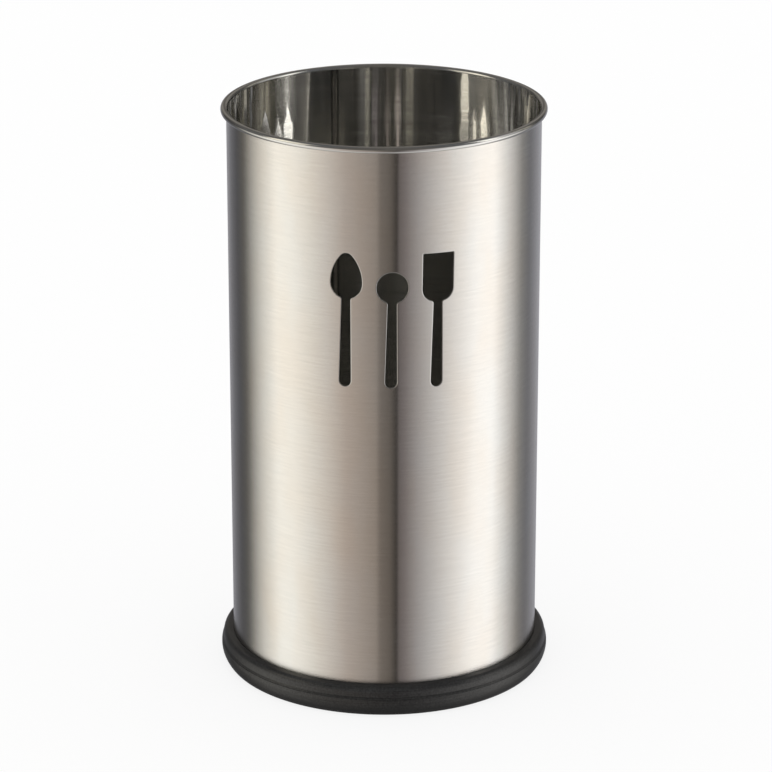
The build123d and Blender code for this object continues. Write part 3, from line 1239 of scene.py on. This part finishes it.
def turned_steel(finish):
    """Bottom: pressed from the same rolled sheet, with faint draw marks."""
    material, add = new_material("pressed_steel_bottom")
    grain = noise(add, (0.6, 0.05, 0.6), detail=4.0, roughness=0.7)
    cloud = noise(add, (0.06, 0.06, 0.06), offset=(1, 2, 3), detail=2.0)
    tone = plus(add, span(add, grain, 0.95, 1.03, 0.2, 0.8),
                span(add, cloud, -0.03, 0.02, 0.3, 0.7))
    colour = shaded(add, tuple(finish.rolled), tone)
    rough = finish.rolled_roughness
    roughness = plus(
        add, span(add, grain, 0.0, 0.05, 0.2, 0.8),
        span(add, cloud, rough + 0.04, rough + 0.1, 0.3, 0.7),
    )
    bump = add("ShaderNodeBump", {"Height": grain, "Strength": 0.4, "Distance": 0.01 * MM})
    finish_metal(add, colour, roughness, bump.outputs["Normal"], 0.3)
    return material


def cut_steel(finish):
    """Punched and sheared edges of the sheet."""
    material, add = new_material("cut_steel_edge")
    grain = noise(add, (3.0, 3.0, 3.0))
    colour = shaded(add, tuple(finish.brushed), span(add, grain, 0.85, 1.05, 0.25, 0.75))
    roughness = span(add, grain, 0.28, 0.42, 0.25, 0.75)
    bump = add("ShaderNodeBump", {"Height": grain, "Strength": 0.3, "Distance": 0.01 * MM})
    finish_metal(add, colour, roughness, bump.outputs["Normal"], 0.0)
    return material


def moulded_plastic(finish):
    """Foot ring: black moulded plastic with a fine spark-eroded grain, painted light towards its
    top and a painted shade on its reflection at the foot.
    """
    material, add = new_material("moulded_black_plastic")
    grain = noise(add, (1.7, 1.7, 1.7), roughness=0.75)
    flow = noise(add, (0.04, 0.04, 1.3), offset=(1, 5, 2), detail=4.0, roughness=0.65)
    tone = times(add, span(add, grain, 0.7, 1.35, 0.3, 0.7),
                 span(add, flow, 0.75, 1.25, 0.3, 0.7))
    height = own_place(add)["Z"]
    # Painted light: the ring's colour is lighter towards its top, from 6.5 mm up
    painted_top_light = span(add, height, 1.0, 1.4, 6.5 * MM, 8.5 * MM)
    colour = shaded(add, tuple(finish.plastic), times(add, tone, painted_top_light))
    # Painted shade: the ring's reflection is weaker towards its foot, where the floor shades it
    painted_foot_shade = span(add, height, 0.08, 0.5, 1.6 * MM, 5.0 * MM)
    rough = finish.plastic_roughness
    roughness = plus(
        add, span(add, grain, -0.05, 0.06, 0.3, 0.7),
        span(add, flow, rough - 0.06, rough + 0.06, 0.3, 0.7),
    )
    slope = plus(add, span(add, flow, -0.16, 0.16, 0.3, 0.7),
                 span(add, grain, -0.1, 0.1, 0.3, 0.7))
    shader = add(
        "ShaderNodeBsdfPrincipled",
        {
            "Base Color": colour,
            "Roughness": roughness,
            "IOR": 1.5,
            "Specular IOR Level": times(add, tone, painted_foot_shade),
            "Normal": tilted(add, slope),
        },
    )
    add("ShaderNodeOutputMaterial", {"Surface": shader.outputs["BSDF"]})
    return material


# Stage. Azimuths are in degrees from the camera towards its right. Heights are shares of the
# light tent's radius above the floor. Each station of the surround has a brightness and a
# tint, and light changes evenly from one station to the next.


FLOOR_SIZE = 8.0
FLOOR_DROP = 0.05 * MM
TENT_RADIUS = 2.0
CREAM = (1.0, 0.965, 0.885)
STRAW = (1.0, 0.92, 0.74)
IVORY = (1.0, 0.975, 0.94)
WARM = (1.0, 0.87, 0.77)
MAUVE = (1.0, 0.88, 0.86)
COOL = (0.93, 0.93, 1.0)
TABLE_WHITE = (0.7, 0.68, 0.66)
ROOM_COOL = (0.97, 0.98, 1.0)
ROOM_WARM = (1.0, 0.93, 0.84)
SURROUND = (
    ("backdrop", -180, 0.55, COOL),
    ("backdrop edge", -150, 0.22, COOL),
    ("left flag", -134, 0.115, COOL),
    ("left flag edge", -122, 0.17, CREAM),
    ("left softbox outer edge", -100, 1.0, CREAM),
    ("left softbox", -84, 1.5, CREAM),
    ("left softbox inner edge", -70, 1.42, CREAM),
    ("left wall", -28, 0.66, WARM),
    ("left wall end", -5.5, 0.41, WARM),
    ("gap", -2.5, 0.26, WARM),
    ("gap middle", 5, 0.18, WARM),
    ("gap dark side", 9.8, 0.05, WARM),
    ("right wall start", 11.2, 0.2, MAUVE),
    ("right wall", 16, 0.28, MAUVE),
    ("right softbox inner edge", 70, 1.6, IVORY),
    ("right softbox", 87, 1.66, IVORY),
    ("right softbox outer edge", 106, 0.85, IVORY),
    ("right flag edge", 119, 0.34, IVORY),
    ("right flag", 132, 0.22, COOL),
    ("backdrop far edge", 150, 0.36, COOL),
    ("backdrop end", 180, 0.55, COOL),
)
BRIGHTEST = 1.7

# Softboxes above the horizon: name, middle azimuth, width, level, tint. Each one's light
# falls off over the same angle, half of it each side of its edge.
SOFTBOXES = (
    ("right", 79.5, 15.0, 1.8, CREAM),
    ("right, dimmer", 98.0, 22.0, 0.55, IVORY),
    ("far right", 119.0, 9.0, 0.5, STRAW),
    ("left, inner", -63.5, 15.0, 1.0, STRAW),
    ("left", -80.0, 18.0, 1.45, STRAW),
    ("left, dimmer", -105.0, 28.0, 0.04, STRAW),
)
HALF_FALLOFF = 2.0


def below_horizon(add, turn, height):
    """Colour of the surround below the horizon, by azimuth, and of the table further down."""
    ramp = add("ShaderNodeValToRGB", {"Fac": span(add, turn, 0.0, 1.0, -180.0, 180.0)})
    stops = ramp.color_ramp.elements
    while len(stops) < len(SURROUND):
        stops.new(0.5)
    for stop, (_, azimuth, _, _) in zip(stops, SURROUND):
        stop.position = azimuth / 360 + 0.5
    for stop, (_, _, level, tint) in zip(stops, SURROUND):
        stop.color = (*(level / BRIGHTEST * part for part in tint), 1.0)
    level = span(add, height, 0.88 * BRIGHTEST, BRIGHTEST, -0.45, -0.28)
    table = span(add, height, 0.6, 0.0, -0.8, -0.6)
    wall = shaded(add, shaded(add, ramp.outputs["Color"], level),
                  math_node(add, "SUBTRACT", 1.0, table))
    return vector_node(add, "ADD", wall, shaded(add, TABLE_WHITE, table))


def above_horizon(add, turn, height):
    """Colour of the surround above the horizon: a dark room with softboxes at the sides."""
    aside = math_node(add, "ABSOLUTE", turn)
    walls = times(add, span(add, folds(add, turn, 0.25, 3.0), 0.1, 0.18, 0.37, 0.72),
                  span(add, aside, 1.0, 0.5, 84.0, 96.0))
    back = times(add, span(add, aside, 0.0, 0.18, 146.0, 160.0),
                 span(add, aside, 1.0, 0.2, 167.0, 176.0))
    ceiling = times(add, span(add, height, 0.0, 0.07, 0.2, 0.5),
                    span(add, aside, 0.2, 1.0, 60.0, 120.0))
    room = plus(add, walls, plus(add, back, ceiling))
    warmth = plus(add, span(add, aside, 1.0, 0.0, 25.0, 55.0),
                  span(add, aside, 0.0, 1.0, 110.0, 150.0))
    light = shaded(add, blend(add, warmth, ROOM_COOL, ROOM_WARM), room)
    raised = times(add, span(add, height, 0.0, 1.0, 0.15, 0.25),
                   span(add, height, 1.0, 0.0, 0.62, 0.8))
    for _, azimuth, width, level, tint in SOFTBOXES:
        box = span(add, gap_between(add, turn, azimuth), level, 0.0,
                   width / 2 - HALF_FALLOFF, width / 2 + HALF_FALLOFF)
        light = vector_node(add, "ADD", light, shaded(add, tint, times(add, box, raised)))
    return light


def surround_light(add):
    """Colour of the surround at a point of it, by azimuth and height."""
    place = own_place(add)
    ahead = times(add, place["Y"], -1.0)
    turn = math_node(add, "DEGREES", math_node(add, "ARCTAN2", place["X"], ahead))
    height = math_node(add, "DIVIDE", place["Z"], TENT_RADIUS)
    horizon = span(add, height, 0.0, 1.0, 0.03, 0.13)
    return blend(add, horizon, below_horizon(add, turn, height),
                 above_horizon(add, turn, height))


def build_surround(stage):
    """Light tent that shows only in reflections: softboxes, flags and dark gaps."""
    bpy.ops.mesh.primitive_uv_sphere_add(segments=64, ring_count=32, radius=TENT_RADIUS)
    tent = bpy.context.object
    tent.name = "light_tent"
    tent.rotation_euler.z = -stage.heading
    for kind in ("camera", "diffuse", "transmission", "volume_scatter", "shadow"):
        setattr(tent, "visible_" + kind, False)
    material, add = new_material("light_tent")
    material.cycles.emission_sampling = "NONE"
    glow = add("ShaderNodeEmission", {"Color": surround_light(add), "Strength": 1.0})
    add("ShaderNodeOutputMaterial", {"Surface": glow.outputs["Emission"]})
    tent.data.materials.append(material)


def seen_directly(add):
    """1 for the camera's rays and for mirrored and refracted ones, otherwise 0."""
    path = add("ShaderNodeLightPath").outputs
    total = plus(add, path["Is Camera Ray"], path["Is Glossy Ray"])
    return math_node(add, "MINIMUM", plus(add, total, path["Is Transmission Ray"]), 1.0)


def build_world():
    """Plain even light, with a white background."""
    world = bpy.data.worlds.new("plain_light")
    world.use_nodes = True
    world.cycles.sampling_method = "NONE"
    tree = world.node_tree
    tree.nodes.clear()
    add = node_adder(tree)
    light = add("ShaderNodeBackground", {"Color": (1, 1, 1, 1), "Strength": 1.0})
    add("ShaderNodeOutputWorld", {"Surface": light.outputs["Background"]})
    bpy.context.scene.world = world


def build_floor(stage):
    """White floor that keeps a soft shadow, and is clear from below."""
    bpy.ops.mesh.primitive_plane_add(size=FLOOR_SIZE, location=(0, 0, -FLOOR_DROP))
    floor = bpy.context.object
    floor.name = "floor"
    floor.visible_glossy = False
    material, add = new_material("white_floor")
    plain = add("ShaderNodeBsdfDiffuse", {"Color": (*stage.floor, 1.0)})
    white = add("ShaderNodeEmission", {"Color": (1, 1, 1, 1), "Strength": 1.0})
    lift = times(add, seen_directly(add), stage.floor_lift)
    surface = add("ShaderNodeMixShader", {0: lift, 1: plain.outputs[0], 2: white.outputs[0]})
    clear = add("ShaderNodeBsdfTransparent")
    below = add("ShaderNodeNewGeometry").outputs["Backfacing"]
    both = add("ShaderNodeMixShader", {0: below, 1: surface.outputs[0], 2: clear.outputs[0]})
    add("ShaderNodeOutputMaterial", {"Surface": both.outputs[0]})
    floor.data.materials.append(material)


def build_camera(stage):
    """Camera at the photograph's viewing angle."""
    data = bpy.data.cameras.new("camera")
    data.lens = stage.lens
    data.sensor_width = 36.0
    camera = bpy.data.objects.new("camera", data)
    side, back = math.sin(stage.heading), math.cos(stage.heading)
    camera.location = (-side * stage.distance, -back * stage.distance, stage.eye_height)
    camera.rotation_euler = (math.pi / 2 - stage.tilt, 0, -stage.heading - stage.pan)
    bpy.context.scene.collection.objects.link(camera)
    bpy.context.scene.camera = camera


class CROCK_OT_tube(bpy.types.Operator):
    """Adds the steel tube with its rim, weld and cut-out figures"""

    bl_idname = "crock.tube"
    bl_label = "Steel Tube"

    def execute(self, context):
        build_tube(context.scene.crock)
        return {"FINISHED"}


class CROCK_OT_bottom(bpy.types.Operator):
    """Adds the pressed steel bottom"""

    bl_idname = "crock.bottom"
    bl_label = "Pressed Bottom"

    def execute(self, context):
        build_bottom(context.scene.crock)
        return {"FINISHED"}


class CROCK_OT_ring(bpy.types.Operator):
    """Adds the moulded foot ring"""

    bl_idname = "crock.ring"
    bl_label = "Foot Ring"

    def execute(self, context):
        build_ring(context.scene.crock)
        return {"FINISHED"}


class CROCK_OT_stage(bpy.types.Operator):
    """Adds the floor, the light and the camera"""

    bl_idname = "crock.stage"
    bl_label = "Stage"

    def execute(self, context):
        stage = context.scene.crock.stage
        build_world()
        build_floor(stage)
        build_surround(stage)
        build_camera(stage)
        context.scene.view_settings.view_transform = "Standard"
        context.scene.cycles.glossy_bounces = 12
        return {"FINISHED"}


class CROCK_PT_sidebar(bpy.types.Panel):
    """Lists the crock's pieces and sizes"""

    bl_idname = "CROCK_PT_sidebar"
    bl_label = "Utensil Crock"
    bl_space_type = "VIEW_3D"
    bl_region_type = "UI"
    bl_category = "Crock"

    def draw(self, context):
        layout = self.layout
        for operator in OPERATORS:
            layout.operator(operator.bl_idname)
        for name, group in SETTINGS.items():
            box = layout.box()
            box.label(text=name.capitalize())
            for key in group.__annotations__:
                box.prop(getattr(context.scene.crock, name), key)


OPERATORS = (CROCK_OT_tube, CROCK_OT_bottom, CROCK_OT_ring, CROCK_OT_stage)
CLASSES = (*SETTINGS.values(), CrockSettings, *OPERATORS, CROCK_PT_sidebar)


def register():
    for item in CLASSES:
        bpy.utils.register_class(item)
    bpy.types.Scene.crock = PointerProperty(
        name="Crock", description="Settings of the utensil crock", type=CrockSettings
    )


def unregister():
    del bpy.types.Scene.crock
    for item in reversed(CLASSES):
        bpy.utils.unregister_class(item)


def main():
    register()
    bpy.ops.crock.stage()
    bpy.ops.crock.tube()
    bpy.ops.crock.bottom()
    bpy.ops.crock.ring()


if __name__ == "__main__":
    main()
